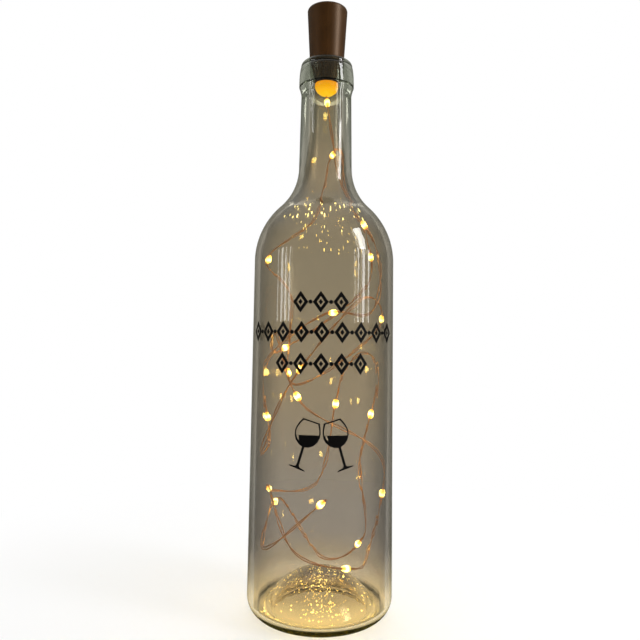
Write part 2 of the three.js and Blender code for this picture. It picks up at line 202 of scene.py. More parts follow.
# White paper: matt, and it keeps the shadow near the bottle, then fades into the surround with no edge.
white_floor, tree = new_material("white_floor")
place = add_node(tree, "ShaderNodeNewGeometry").outputs["Position"]
far = add_node(tree, "ShaderNodeVectorMath", {0: place}, operation="LENGTH")
fade = add_node(
    tree, "ShaderNodeMapRange", {"Value": far.outputs["Value"], "From Min": SHADED, "From Max": WHITE},
    interpolation_type="SMOOTHSTEP",
)
share = add_node(tree, "ShaderNodeMath", {0: fade.outputs[0], 1: background_rays(tree)}, operation="MULTIPLY")
paper = add_node(tree, "ShaderNodeBsdfDiffuse", {"Color": colour("#f7f7f6")})
bright = add_node(tree, "ShaderNodeEmission", {"Color": (1, 1, 1, 1), "Strength": 1})
mix = add_node(tree, "ShaderNodeMixShader", {0: share.outputs[0], 1: paper.outputs[0], 2: bright.outputs[0]})
add_node(tree, "ShaderNodeOutputMaterial", {"Surface": mix.outputs[0]})

shape = bmesh.new()
bmesh.ops.create_grid(shape, x_segments=1, y_segments=1, size=FLOOR_HALF)
floor = make_piece("floor", shape, white_floor)
floor.location.z = -FLOOR_DROP
print("floor, m:", 2 * FLOOR_HALF)

# %% Soft boxes
BOX_AWAY, BOX_FOOT = 1.1, 0.17
BOX_AIM = Vector((0, 0, 0.16))
STRIPS = (  # azimuth, width, height, power
    (-56, 0.03, 0.34, 0.2), (-63, 0.045, 0.34, 0.34), (-70, 0.05, 0.32, 0.3), (-78, 0.03, 0.3, 0.12),
    (50, 0.02, 0.3, 0.1), (56, 0.03, 0.34, 0.24), (65, 0.1, 0.36, 0.95), (76, 0.05, 0.3, 0.3),
)


def soft_box(name, azimuth, distance, height, size, power):
    """An upright soft box that faces the bottle; azimuth 0 is the camera's side and 90 is to the right."""
    lamp = bpy.data.lights.new(name, "AREA")
    lamp.shape, lamp.size, lamp.size_y, lamp.energy = "RECTANGLE", *size, power
    box = bpy.data.objects.new(name, lamp)
    turn = math.radians(azimuth)
    box.location = (distance * math.sin(turn), -distance * math.cos(turn), height)
    box.rotation_euler = (BOX_AIM - box.location).to_track_quat("-Z", "Y").to_euler()
    box.visible_camera = False
    scene.collection.objects.link(box)
    return box


for number, (azimuth, width, tall, power) in enumerate(STRIPS, 1):
    soft_box(f"strip_{number}", azimuth, BOX_AWAY, BOX_FOOT + tall / 2, (width, tall), power)
soft_box("window_box", azimuth=66, distance=BOX_AWAY, height=0.8, size=(0.26, 0.62), power=6)
top_box = soft_box("top_box", azimuth=180, distance=0.9, height=1.5, size=(1.2, 1.2), power=14)
top_box.visible_glossy = False
print("soft boxes:", len(STRIPS) + 2)

# %% [markdown]
# ## Grey tent
# On white, clear glass would lose its outline, so a tent of grey cloth stands over it, as in a studio: darker
# near the glass and behind the camera, and paler overhead. Only reflections see the tent, and those that
# graze the edges of the glass show it most.

# %% Grey tent
TENT_TOP = 2.2
TENT_TONES = ((0.015, "#26250f"), (0.05, "#45443a"), (0.14, "#6f6e66"), (0.88, "#6f6e66"), (1.0, "#c9c9c5"))

grey_tent, tree = new_material("grey_tent")
place = add_node(tree, "ShaderNodeNewGeometry").outputs["Position"]
far = add_node(tree, "ShaderNodeVectorMath", {0: place}, operation="LENGTH")
share = add_node(
    tree, "ShaderNodeMapRange", {"Value": far.outputs["Value"], "From Min": 0, "From Max": TENT_TOP}
)
tones = add_node(tree, "ShaderNodeValToRGB", {"Fac": share.outputs[0]}, stops=TENT_TONES)
back = add_node(tree, "ShaderNodeSeparateXYZ", {0: place}).outputs["Y"]
dim = add_node(
    tree, "ShaderNodeMapRange", {"Value": back, "From Min": -1.2, "From Max": 0.2, "To Min": 0.3, "To Max": 1}
)
cloth = add_node(tree, "ShaderNodeEmission", {"Color": tones.outputs["Color"], "Strength": dim.outputs[0]})
add_node(tree, "ShaderNodeOutputMaterial", {"Surface": cloth.outputs[0]})

skirt = [(radius, 0.2) for radius in (29, 60, 200, 600, 1300)]
walls_and_roof = [
    *arc(1300, 300, 300, -90, 0, 6)[1:], (1600, 1000), *arc(400, 1000, 1200, 0, 90, 8)[1:], (0, 2200),
]
tent = make_piece("grey_tent", lathe(skirt + walls_and_roof, 48), grey_tent)
tent.visible_camera = tent.visible_diffuse = tent.visible_transmission = tent.visible_shadow = False
print("tent faces:", len(tent.data.polygons))

# %% [markdown]
# ## Glass
# Flint glass, blown in a mould: very smooth, an IOR of about 1.52, and faintly olive where it is thick. Clear
# glass takes up the tone of what is behind it, so the walls look warm grey, and the base is lit gold by the
# lamps. Both are painted into the shader's colour by height, as painted light: the room's tone seen through
# the walls and the lamps' gold on the base, so that the bottle keeps that look on a white ground. There is
# one run of colours for glass seen face on, and a darker one for its edges, where the eye looks along the
# wall: painted shade, partly for the longer path through the glass and partly for the darker room seen in it.

# %% Glass colour by height
GLASS_TOP = 300
# Painted light by height: the room's warm grey seen through the walls, and the lamps' gold on the base.
FACE_ON = (  # height in millimetres, colour
    (0, "#f8e6b4"), (4, "#fbecc6"), (10, "#fdf0d0"), (18, "#d4c8af"), (30, "#bfb8af"), (60, "#beb8ae"),
    (110, "#c2b8a5"), (180, "#bbb3a1"), (240, "#beb4a0"), (274, "#a6a392"), (280, "#949886"), (300, "#949886"),
)
EDGE_ON = (
    (0, "#eedca4"), (8, "#f9eac4"), (14, "#f0e0bc"), (22, "#aca38c"), (36, "#4f4b40"), (60, "#47453c"),
    (150, "#504e45"), (190, "#66635a"), (215, "#605f55"), (238, "#626359"), (300, "#62665a"),
)

flint_glass, tree = new_material("flint_glass")
surface = add_node(tree, "ShaderNodeNewGeometry").outputs
place, leaving = surface["Position"], surface["Backfacing"]
height = add_node(tree, "ShaderNodeSeparateXYZ", {0: place}).outputs["Z"]
share = add_node(tree, "ShaderNodeMapRange", {"Value": height, "From Min": 0, "From Max": GLASS_TOP * MM})
face_on, edge_on = (
    add_node(
        tree, "ShaderNodeValToRGB", {"Fac": share.outputs[0]}, stops=[(mm / GLASS_TOP, tone) for mm, tone in bands]
    ).outputs["Color"]
    for bands in (FACE_ON, EDGE_ON)
)
print("colours by height:", len(FACE_ON), "face on,", len(EDGE_ON), "edge on")

# %% Edges of the wall
# Painted shade at the edges of the wall: on the neck's thick wall it is broad and starts early. Its outermost line
# is paler again, a painted highlight.
rim = add_node(tree, "ShaderNodeLayerWeight", {"Blend": 0.5}).outputs["Facing"]
full_rim = add_node(
    tree, "ShaderNodeMapRange",
    {"Value": height, "From Min": 205 * MM, "From Max": 238 * MM, "To Min": 0.74, "To Max": 0.3},
)
thick = add_node(tree, "ShaderNodeMapRange", {"Value": rim, "From Min": 0.2, "From Max": full_rim.outputs[0]})
sides = add_node(
    tree, "ShaderNodeMix", {"Factor": thick.outputs[0], "A": face_on, "B": edge_on}, data_type="RGBA"
).outputs["Result"]
neck = add_node(tree, "ShaderNodeMapRange", {"Value": height, "From Min": 225 * MM, "From Max": 240 * MM})
# Painted highlight: a paler outermost line along the neck's edges.
painted_edge_highlight = add_node(
    tree, "ShaderNodeMapRange", {"Value": rim, "From Min": 0.4, "From Max": 0.55, "To Max": neck.outputs[0]}
)
walls = add_node(
    tree, "ShaderNodeMix", {"Factor": painted_edge_highlight.outputs[0], "A": sides, "B": colour("#97998f")}, data_type="RGBA"
).outputs["Result"]
print("nodes for the colour of the walls:", len(tree.nodes))

# %% Heel and collar
# The heel is thick and shows dark olive, deepened almost to black by painted shade, and the collar's two steps
# turn light away and show as painted dark lines. Both are counted where light enters the glass, and not again where
# it leaves.
COLLAR_STEPS = ((279.6, 0.45), (290.7, 0.35))  # height of the middle and half the width

flat = add_node(tree, "ShaderNodeVectorMath", {0: place, 1: (1, 1, 0)}, operation="MULTIPLY")
radius = add_node(tree, "ShaderNodeVectorMath", {0: flat.outputs[0]}, operation="LENGTH").outputs["Value"]
outer = add_node(tree, "ShaderNodeMapRange", {"Value": radius, "From Min": 29 * MM, "From Max": 32 * MM})
# Painted shade: the heel darkens almost to black, over the olive tint of thick glass.
heel = add_node(
    tree, "ShaderNodeMapRange",
    {"Value": height, "From Min": 5 * MM, "From Max": 7 * MM, "To Min": outer.outputs[0], "To Max": 0},
)
heel_tint_and_shade = add_node(
    tree, "ShaderNodeMix", {"Factor": heel.outputs[0], "A": walls, "B": colour("#0b0a01")}, data_type="RGBA"
).outputs["Result"]
# Painted dark lines on the collar's two steps.
on_collar = add_node(tree, "ShaderNodeMath", {0: radius, 1: 13.5 * MM}, operation="GREATER_THAN").outputs[0]
lower, upper = (
    add_node(tree, "ShaderNodeMath", {0: height, 1: middle * MM, 2: half * MM}, operation="COMPARE").outputs[0]
    for middle, half in COLLAR_STEPS
)
bands = add_node(tree, "ShaderNodeMath", {0: lower, 1: upper}, operation="ADD")
lines = add_node(tree, "ShaderNodeMath", {0: bands.outputs[0], 1: on_collar}, operation="MULTIPLY")
entering = add_node(
    tree, "ShaderNodeMix", {"Factor": lines.outputs[0], "A": heel_tint_and_shade, "B": colour("#15170f")}, data_type="RGBA"
).outputs["Result"]
tint = add_node(
    tree, "ShaderNodeMix", {"Factor": leaving, "A": entering, "B": walls}, data_type="RGBA"
).outputs["Result"]
print("dark lines on the collar at, mm:", [middle for middle, half in COLLAR_STEPS])

# %% Waves in the glass
# A weak bump gives the waviness of moulded glass: upright ripples, and small dimples in the shoulder, where
# the glass was drawn in.
RIPPLE, DIMPLE = 5, 4  # millimetres apart

drawn = add_node(tree, "ShaderNodeMapping", {"Vector": place, "Scale": (1, 1, 0.04)})
ripple = add_node(
    tree, "ShaderNodeTexNoise", {"Vector": drawn.outputs[0], "Scale": 1 / (RIPPLE * MM), "Detail": 2}
)
blown = add_node(tree, "ShaderNodeMapping", {"Vector": place, "Scale": (1, 1, 0.3)})
dimple = add_node(
    tree, "ShaderNodeTexNoise", {"Vector": blown.outputs[0], "Scale": 1 / (DIMPLE * MM), "Detail": 1}
)
past_side = add_node(tree, "ShaderNodeMapRange", {"Value": height, "From Min": 180 * MM, "From Max": 200 * MM})
shoulder = add_node(
    tree, "ShaderNodeMapRange",
    {"Value": height, "From Min": 250 * MM, "From Max": 230 * MM, "To Max": past_side.outputs[0]},
)
both = add_node(
    tree, "ShaderNodeMath", {0: dimple.outputs[0], 1: shoulder.outputs[0], 2: ripple.outputs[0]},
    operation="MULTIPLY_ADD",
)
wave = add_node(tree, "ShaderNodeBump", {"Height": both.outputs[0], "Strength": 0.5, "Distance": 0.15 * MM})
print("ripples and dimples, mm:", RIPPLE, DIMPLE)

# %% [markdown]
# ## Light through the glass
# Lamps shine through the wall by way of Transparent for their rays, because a refracting wall would otherwise
# block them. A ray that was mirrored twice inside the wall could go on round it until the renderer gives it
# up and leaves a black line, so it ends there, on white light with the glass's own tint.

# %% Glass shader
glass = add_node(
    tree, "ShaderNodeBsdfPrincipled",
    {"Base Color": tint, "Roughness": 0, "IOR": 1.52, "Transmission Weight": 1, "Normal": wave.outputs[0]},
)
rays = add_node(tree, "ShaderNodeLightPath").outputs
lit = add_node(
    tree, "ShaderNodeMath", {0: rays["Is Shadow Ray"], 1: rays["Is Diffuse Ray"]}, operation="MAXIMUM"
)
clear = add_node(tree, "ShaderNodeBsdfTransparent", {"Color": colour("#f6f5f1")})
trapped = add_node(tree, "ShaderNodeMath", {0: rays["Glossy Depth"], 1: 1.5}, operation="GREATER_THAN")
found = add_node(tree, "ShaderNodeEmission", {"Color": tint, "Strength": 1})
wall = add_node(tree, "ShaderNodeMixShader", {0: trapped.outputs[0], 1: glass.outputs[0], 2: found.outputs[0]})
mix = add_node(tree, "ShaderNodeMixShader", {0: lit.outputs[0], 1: wall.outputs[0], 2: clear.outputs[0]})
add_node(tree, "ShaderNodeOutputMaterial", {"Surface": mix.outputs[0]})
print("glass nodes:", len(tree.nodes))

# %% [markdown]
# ## Bottle
# The bottle is one wall of glass. Its profile runs from the middle of the punt, the dome under the base,
# over the ring it stands on, round the heel, up the side, over the shoulder and neck to the mouth, and back
# down inside to the floor. The same arcs as in the CAD model are cut into finer steps.

# %% Bottle
BODY, WALL, LIP_TOP = 37.5, 2.8, 294
PUNT, PUNT_GLASS, HEEL, BEARING, VALLEY = 17, 4.5, 9.5, 2.5, 4
SHOULDER, SHOULDER_ARC, NECK_ARC, NECK = 182, 40, 31, 14.5
BORE, COLLAR, COLLAR_FOOT, LIP, LIP_ROUND = 9.25, 15.2, 280, 14.3, 2.4

sweep = math.degrees(math.acos(1 - (BODY - NECK) / (SHOULDER_ARC + NECK_ARC)))
neck_foot = SHOULDER + (SHOULDER_ARC + NECK_ARC) * math.sin(math.radians(sweep))
punt_edge = BODY - HEEL - BEARING
dome = (punt_edge ** 2 + PUNT ** 2) / (2 * PUNT)
dome_edge = math.degrees(math.atan2(dome - PUNT, punt_edge))
valley = BODY - WALL - VALLEY
reach = dome + PUNT_GLASS + VALLEY
valley_height = PUNT - dome + math.sqrt(reach ** 2 - valley ** 2)
valley_turn = math.degrees(math.acos(valley / reach))

outer_line = [
    (0, PUNT), *arc(0, PUNT - dome, dome, 90, dome_edge, 28)[1:],
    *arc(BODY - HEEL, HEEL, HEEL, -90, 0, 16),
    *[(BODY, height) for height in range(20, 180, 10)],
    *arc(BODY - SHOULDER_ARC, SHOULDER, SHOULDER_ARC, 0, sweep, 28),
    *arc(NECK + NECK_ARC, neck_foot, NECK_ARC, 180 + sweep, 180, 20)[1:],
    (13.9, COLLAR_FOOT - 4.7), (14.05, COLLAR_FOOT - 4.2), (14.75, COLLAR_FOOT - 1.2),
    (14.8, COLLAR_FOOT - 0.7), (15.1, COLLAR_FOOT - 0.5), (COLLAR, COLLAR_FOOT), (COLLAR, 282.5),
    (15.15, 285), (15, 287), (14.8, 289), (14.6, 290.3), (14.2, 290.5), (14.1, 290.8), (14.2, 291.1),
    *arc(LIP - LIP_ROUND, LIP_TOP - LIP_ROUND, LIP_ROUND, 0, 90, 10),
]
inner_line = [
    *arc(BORE + 1, LIP_TOP - 1, 1, 90, 180, 6), (BORE, LIP_TOP - 42),
    *arc(NECK + NECK_ARC, neck_foot, NECK_ARC + WALL, 180, 180 + sweep, 20),
    *arc(BODY - SHOULDER_ARC, SHOULDER, SHOULDER_ARC - WALL, sweep, 0, 28)[1:],
    *[(BODY - WALL, height) for height in range(170, 45, -10)],
    *arc(valley, valley_height, VALLEY, 0, valley_turn - 180, 16),
    *arc(0, PUNT - dome, dome + PUNT_GLASS, valley_turn, 90, 28)[1:-1], (0, PUNT + PUNT_GLASS),
]
bottle = make_piece("glass_bottle", lathe(outer_line + inner_line, 160), flint_glass, crease=60)
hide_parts("bottle")
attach(bottle, "bottle")
print("bottle faces:", len(bottle.data.polygons))

# %% [markdown]
# ## Seeds
# Tiny specks shaped as bubbles, which glassmakers call seeds, glow gold in the glass: painted glints, each
# standing for a point of the lamps' light caught in the glass. In the thick base they lie just under the
# dome's upper face, and one in three is gathered at the front. In the shoulder they are drawn out towards
# the neck, as painted streaks of reflected lamp light. Their light is set on the shader, because rays this
# fine would be noise.

# %% Seed finish
# Painted glint: a bright golden skin that glows, stronger in some specks than in others.
lit_seed, tree = new_material("lit_seed")
pick = add_node(tree, "ShaderNodeNewGeometry").outputs["Random Per Island"]
painted_glint = add_node(tree, "ShaderNodeMapRange", {"Value": pick, "To Min": 1, "To Max": 7})
seed = add_node(
    tree, "ShaderNodeBsdfPrincipled",
    {"Base Color": colour("#f3dc9a"), "Roughness": 0.1, "Emission Color": colour("#ffe98c"),
     "Emission Strength": painted_glint.outputs[0]},
)
add_node(tree, "ShaderNodeOutputMaterial", {"Surface": seed.outputs[0]})
print("seed nodes:", len(tree.nodes))

# %% Seeds
BASE_SEEDS, BASE_SPREAD, BASE_DEPTH, FRONT_FAN = 480, 27, 0.6, 0.7
SHOULDER_SEEDS, SHOULDER_START, SIDE_FAN = 75, 12, math.radians(84)

draws = np.random.default_rng(5)
shape = bmesh.new()


def add_seed(radius, turn, height, size, tilt, stretch):
    """A bubble in the glass, in millimetres; tilt leans its long axis in towards the bottle's axis."""
    spot = Matrix.Translation((radius * math.cos(turn) * MM, radius * math.sin(turn) * MM, height * MM))
    lie = Matrix.Rotation(turn, 4, "Z") @ Matrix.Rotation(-tilt, 4, "Y") @ Matrix.Diagonal((0.8, 0.8, stretch, 1))
    bmesh.ops.create_icosphere(shape, subdivisions=1, radius=size * MM, matrix=spot @ lie)


for number, (out, around, size, tip) in enumerate(draws.random((BASE_SEEDS, 4))):
    radius = BASE_SPREAD * out ** 0.6
    height = PUNT - dome + math.sqrt((dome + PUNT_GLASS) ** 2 - radius ** 2) - BASE_DEPTH
    turn = 2 * math.pi * around if number % 3 else FRONT_FAN * (around - 0.5) - math.pi / 2
    add_seed(radius, turn, height, 0.15 + 0.22 * size ** 2, math.pi * tip, 1.5)

mid_wall = SHOULDER_ARC - WALL / 2
for up, around, size, side in draws.random((SHOULDER_SEEDS, 4)):
    slope = math.radians(SHOULDER_START + (sweep - SHOULDER_START) * up)
    turn = math.pi / 2 * (1 if side < 0.4 else -1) + SIDE_FAN * (around - 0.5)
    radius, height = BODY - SHOULDER_ARC + mid_wall * math.cos(slope), SHOULDER + mid_wall * math.sin(slope)
    add_seed(radius, turn, height, 0.2 + 0.22 * size ** 2, slope, 3.6)

seeds = make_piece("glass_seeds", shape, lit_seed)
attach(seeds, "bottle")
print("seed faces:", len(seeds.data.polygons))

# %% [markdown]
# ## Where the string lies
# Fairy lamps hang on a pair of enamelled copper wires, stiff enough to keep the loops they were pushed in
# with. One smooth curve through the CAD model's points gives the line. It is cut into even steps, because
# the lamps sit at an even pitch, one every ten steps.

# %% String line
ROUTE = [
    (0, 0, .2757), (.005, -.003, .242), (.0097, -.0085, .2193), (.0292, -.0011, .1879),
    (.0243, -.0177, .155), (.0004, -.0124, .1534), (-.0305, -.0025, .1271), (-.0274, -.0025, .089),
    (-.0292, -.0166, .0844), (-.0143, -.0247, .1206), (.0201, -.0161, .1618), (.0305, .0082, .1457),
    (-.0168, .0223, .1146), (-.0192, .0232, .1645), (-.0321, .0034, .1835), (-.0056, .0073, .2082),
    (.0028, .0081, .242), (.0082, -.0036, .2431), (.0106, -.004, .2212), (.0235, .0085, .1986),
    (.0235, .0128, .1691), (-.0249, .0157, .1334), (-.0233, -.0173, .1433), (-.0099, -.0213, .1083),
    (.0299, -.0136, .0807), (.026, .0062, .0277), (.0144, -.027, .0308), (-.0125, -.0222, .0368),
    (-.0273, -.0003, .062), (-.0274, .0118, .0578), (-.0011, .0191, .0628), (.0108, .0213, .1178),
    (.0244, .0173, .133), (.0313, .0073, .1193), (.0207, .0008, .0766), (.0241, .0116, .0351),
    (.0021, .0244, .0182), (-.0234, .019, .0521), (-.0267, -.0198, .0376), (.0026, -.0315, .0642),
]
STEPS, LEAD_STEPS, LAMP_PITCH, LAMPS = 191, 7, 10, 20
FINE = 5

knots = np.array(ROUTE)
knots = np.vstack([2 * knots[0] - knots[1], knots, 2 * knots[-1] - knots[-2]])
t = np.linspace(0, 1, 100, endpoint=False)[:, None]
curve = np.vstack([
    0.5 * (2 * b + (c - a) * t + (2 * a - 5 * b + 4 * c - d) * t ** 2 + (3 * b - a - 3 * c + d) * t ** 3)
    for a, b, c, d in zip(knots, knots[1:], knots[2:], knots[3:])
] + [knots[-2:-1]])
run = np.concatenate([[0], np.cumsum(np.linalg.norm(np.diff(curve, axis=0), axis=1))])
even = np.linspace(0, run[-1], STEPS * FINE + 1)
line = np.stack([np.interp(even, run, curve[:, axis]) for axis in range(3)], axis=1)
lead_line = line[:LEAD_STEPS * FINE + 1]
string_line = line[LEAD_STEPS * FINE:].copy()
print("string, m:", round(run[-1], 4))

# %% [markdown]
# ## Copper wire
# Copper drawn thin and coated with clear enamel: a warm red metal that darkens to brown where the
# enamel is thick or handled. It is a metal, so its colour is in its reflections, and slow noise along the
# wire varies the tone every centimetre or so. The coat of enamel is the Coat of the shader.

# %% Copper finish
enamelled_copper, tree = new_material("enamelled_copper")
place = add_node(tree, "ShaderNodeNewGeometry").outputs["Position"]
tone = add_node(tree, "ShaderNodeTexNoise", {"Vector": place, "Scale": 1 / (9 * MM), "Detail": 3})
mixed = add_node(
    tree, "ShaderNodeMix",
    {"Factor": tone.outputs[0], "A": colour("#be7440"), "B": colour("#ffd09e")}, data_type="RGBA",
)
copper = add_node(
    tree, "ShaderNodeBsdfPrincipled",
    {"Base Color": mixed.outputs["Result"], "Metallic": 0.85, "Roughness": 0.34, "Coat Weight": 0.4,
     "Coat Roughness": 0.15},
)
add_node(tree, "ShaderNodeOutputMaterial", {"Surface": copper.outputs[0]})
print("copper nodes:", len(tree.nodes))

# %% [markdown]
# ## Twin wire
# The two strands run side by side in a slow twist. They close up at each lamp, where both are soldered to
# it, and part a little between lamps. Each is a tube swept along the line: a frame is carried along the
# line without spinning, and the strands are set off from it to either side.

# %% Twin wire
STRAND, STRAND_SIDES = 0.29 * MM, 6
TWIST, SPREAD = 42 * MM, 0.36 * MM


def twin_wire(name, points, start_run):
    """Two tubes along a line, as one mesh."""
    along = np.gradient(points, axis=0)
    along /= np.linalg.norm(along, axis=1)[:, None]
    side = np.cross(along[0], (0.3, 1, 0.2))
    sides = []
    for direction in along:
        side = side - direction * (side @ direction)
        side /= np.linalg.norm(side)
        sides.append(side)
    sides = np.array(sides)
    others = np.cross(along, sides)
    travelled = start_run + np.concatenate([[0], np.cumsum(np.linalg.norm(np.diff(points, axis=0), axis=1))])
    turn = 2 * np.pi * travelled / TWIST
    lamp_gap = LAMP_PITCH * run[-1] / STEPS
    part = STRAND + SPREAD * np.sin(np.pi * (travelled / lamp_gap - 0.05)) ** 2
    off = (np.cos(turn) * part)[:, None] * sides + (np.sin(turn) * part)[:, None] * others
    angles = [2 * math.pi * k / STRAND_SIDES for k in range(STRAND_SIDES)]
    shape = bmesh.new()
    for sign in (1, -1):
        rings = []
        for centre, u, v in zip(points + sign * off, sides, others):
            rings.append([shape.verts.new(centre + STRAND * (math.cos(a) * u + math.sin(a) * v)) for a in angles])
        for near, far in zip(rings, rings[1:]):
            for k in range(STRAND_SIDES):
                following = (k + 1) % STRAND_SIDES
                shape.faces.new((near[k], near[following], far[following], far[k]))
        shape.faces.new(rings[0][::-1])
        shape.faces.new(rings[-1])
    return make_piece(name, shape, enamelled_copper, crease=80)


lead = twin_wire("lead_pair", lead_line, 0)
string = twin_wire("string_pair", string_line, even[LEAD_STEPS * FINE])
for piece, node in ((lead, "lead_wire"), (string, "string_wire")):
    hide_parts(node)
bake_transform(lead)
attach(string, "bottle")
print("wire faces:", len(lead.data.polygons) + len(string.data.polygons))

# %% [markdown]
# ## Lamps
# Each lamp is a chip under a blob of yellow phosphor, soldered across the two wires and dipped in clear
# epoxy, which draws up into a smooth drop. The chip is a separate shell inside the drop, hidden between the
# strands, and gives the light that falls on glass and wire. The drop's own glow is what the eye sees: white
# hot in the middle, yellow beside it and amber at its ends. It is written along the drop's length, so it
# stays on the lamp from every side. A lamp is far brighter than a picture can show. Its mirror images in the
# glass, a few hundredths as bright, do show it, so the glow is stronger for mirrored rays that come from
# further off than the drop itself.

# %% Epoxy drop
HALF_DROP, NEAR = 2.6, 6  # millimetres; a ray shorter than NEAR is still inside the drop
GLOW = ((0.25, "#fff092"), (0.6, "#ffe060"), (1.0, "#efac34"))
HOT, WARM, MIRRORED = 9, 1.5, 40  # strength at the middle, at the ends and in mirror images

epoxy, tree = new_material("clear_epoxy")
place = add_node(tree, "ShaderNodeTexCoord").outputs["Object"]
height = add_node(tree, "ShaderNodeSeparateXYZ", {0: place}).outputs["Z"]
out = add_node(tree, "ShaderNodeMath", {0: height}, operation="ABSOLUTE")
share = add_node(tree, "ShaderNodeMapRange", {"Value": out.outputs[0], "From Max": HALF_DROP * MM})
glow = add_node(tree, "ShaderNodeValToRGB", {"Fac": share.outputs[0]}, stops=GLOW)
rays = add_node(tree, "ShaderNodeLightPath").outputs
away = add_node(tree, "ShaderNodeMath", {0: rays["Ray Length"], 1: NEAR * MM}, operation="GREATER_THAN")
mirrored = add_node(
    tree, "ShaderNodeMath", {0: rays["Is Glossy Ray"], 1: rays["Is Transmission Ray"]},
    operation="SUBTRACT", use_clamp=True,
)
image = add_node(tree, "ShaderNodeMath", {0: away.outputs[0], 1: mirrored.outputs[0]}, operation="MULTIPLY")
heat = add_node(
    tree, "ShaderNodeMapRange",
    {"Value": share.outputs[0], "From Min": 0.15, "From Max": 0.55, "To Min": HOT, "To Max": WARM},
)
power = add_node(
    tree, "ShaderNodeMapRange", {"Value": image.outputs[0], "To Min": heat.outputs[0], "To Max": MIRRORED}
)
drop = add_node(
    tree, "ShaderNodeBsdfPrincipled",
    {"Base Color": colour("#ffdc8e"), "Roughness": 0.05, "IOR": 1.5, "Transmission Weight": 1,
     "Emission Color": glow.outputs["Color"], "Emission Strength": power.outputs[0]},
)
lit = add_node(
    tree, "ShaderNodeMath", {0: rays["Is Shadow Ray"], 1: rays["Is Diffuse Ray"]}, operation="MAXIMUM"
)
clear = add_node(tree, "ShaderNodeBsdfTransparent", {"Color": colour("#fff4d8")})
mix = add_node(tree, "ShaderNodeMixShader", {0: lit.outputs[0], 1: drop.outputs[0], 2: clear.outputs[0]})
add_node(tree, "ShaderNodeOutputMaterial", {"Surface": mix.outputs[0]})
print("epoxy nodes:", len(tree.nodes))

# %% Phosphor
# Phosphor in gel: matt and pale yellow. It is a strong lamp for the scene, and a mild glow where it is seen.
LAMP_LIGHT, LAMP_SEEN = 420, 6

phosphor, tree = new_material("lit_phosphor")
rays = add_node(tree, "ShaderNodeLightPath").outputs
straight = add_node(
    tree, "ShaderNodeMath", {0: rays["Is Camera Ray"], 1: rays["Is Transmission Ray"]}, operation="MAXIMUM"
)
near = add_node(tree, "ShaderNodeMath", {0: rays["Ray Length"], 1: NEAR * MM}, operation="LESS_THAN")
within = add_node(tree, "ShaderNodeMath", {0: near.outputs[0], 1: rays["Is Glossy Ray"]}, operation="MULTIPLY")
looked_at = add_node(tree, "ShaderNodeMath", {0: straight.outputs[0], 1: within.outputs[0]}, operation="MAXIMUM")
power = add_node(
    tree, "ShaderNodeMapRange", {"Value": looked_at.outputs[0], "To Min": LAMP_LIGHT, "To Max": LAMP_SEEN}
)
gel = add_node(
    tree, "ShaderNodeBsdfPrincipled",
    {"Base Color": colour("#f4e08a"), "Roughness": 0.6, "Emission Color": colour("#ffdc86"),
     "Emission Strength": power.outputs[0]},
)
add_node(tree, "ShaderNodeOutputMaterial", {"Surface": gel.outputs[0]})
print("phosphor nodes:", len(tree.nodes))

# %% Lamps
def drop_line(radius, half, power, steps):
    """Profile of a rounded drop: radius at its middle, half its length, and how blunt it is."""
    heights = [-half * math.cos(math.pi * i / steps) for i in range(steps + 1)]
    return [(radius * math.sqrt(max(0, 1 - abs(height / half) ** power)), height) for height in heights]


shape = lathe(drop_line(radius=1.5, half=HALF_DROP, power=2.6, steps=16), 20)
resin_faces = len(shape.faces)
chip = bpy.data.meshes.new("chip")
core = lathe(drop_line(radius=0.32, half=0.75, power=4, steps=8), 10)
core.to_mesh(chip)
core.free()
shape.from_mesh(chip)
shape.faces.ensure_lookup_table()
for face in shape.faces[resin_faces:]:
    face.material_index = 1
first_lamp = make_piece("lamp_01", shape, epoxy)
first_lamp.data.materials.append(phosphor)
lamps = [first_lamp]
for index in range(1, LAMPS):
    lamp = bpy.data.objects.new(f"lamp_{index + 1:02d}", first_lamp.data)
    scene.collection.objects.link(lamp)
    lamps.append(lamp)
for index, lamp in enumerate(lamps):
    first, last = (Vector(line[(index * LAMP_PITCH + step) * FINE]) for step in (0, 1))
    turn = (last - first).to_track_quat("Z", "Y")
    lamp.matrix_world = Matrix.Translation((first + last) / 2) @ turn.to_matrix().to_4x4()
    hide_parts(f"led_{index + 1:02d}")
    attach(lamp, "stopper" if index == 0 else "bottle")
print("lamps:", len(lamps))

# %% Lengths of the string's two parts
print("first length and the rest, m:", [round(x, 4) for x in np.diff([0, even[LEAD_STEPS * FINE], run[-1]])])

# %% [markdown]
# ## Stopper plastic
# ABS, injection moulded and dyed dark brown. The mould was lightly textured, so the surface is satin, with a
# fine grain of about a third of a millimetre and a faint cloudiness in the colour. The switch's slide is
# black nylon, duller and with a finer grain, so that it reads as a piece of its own.

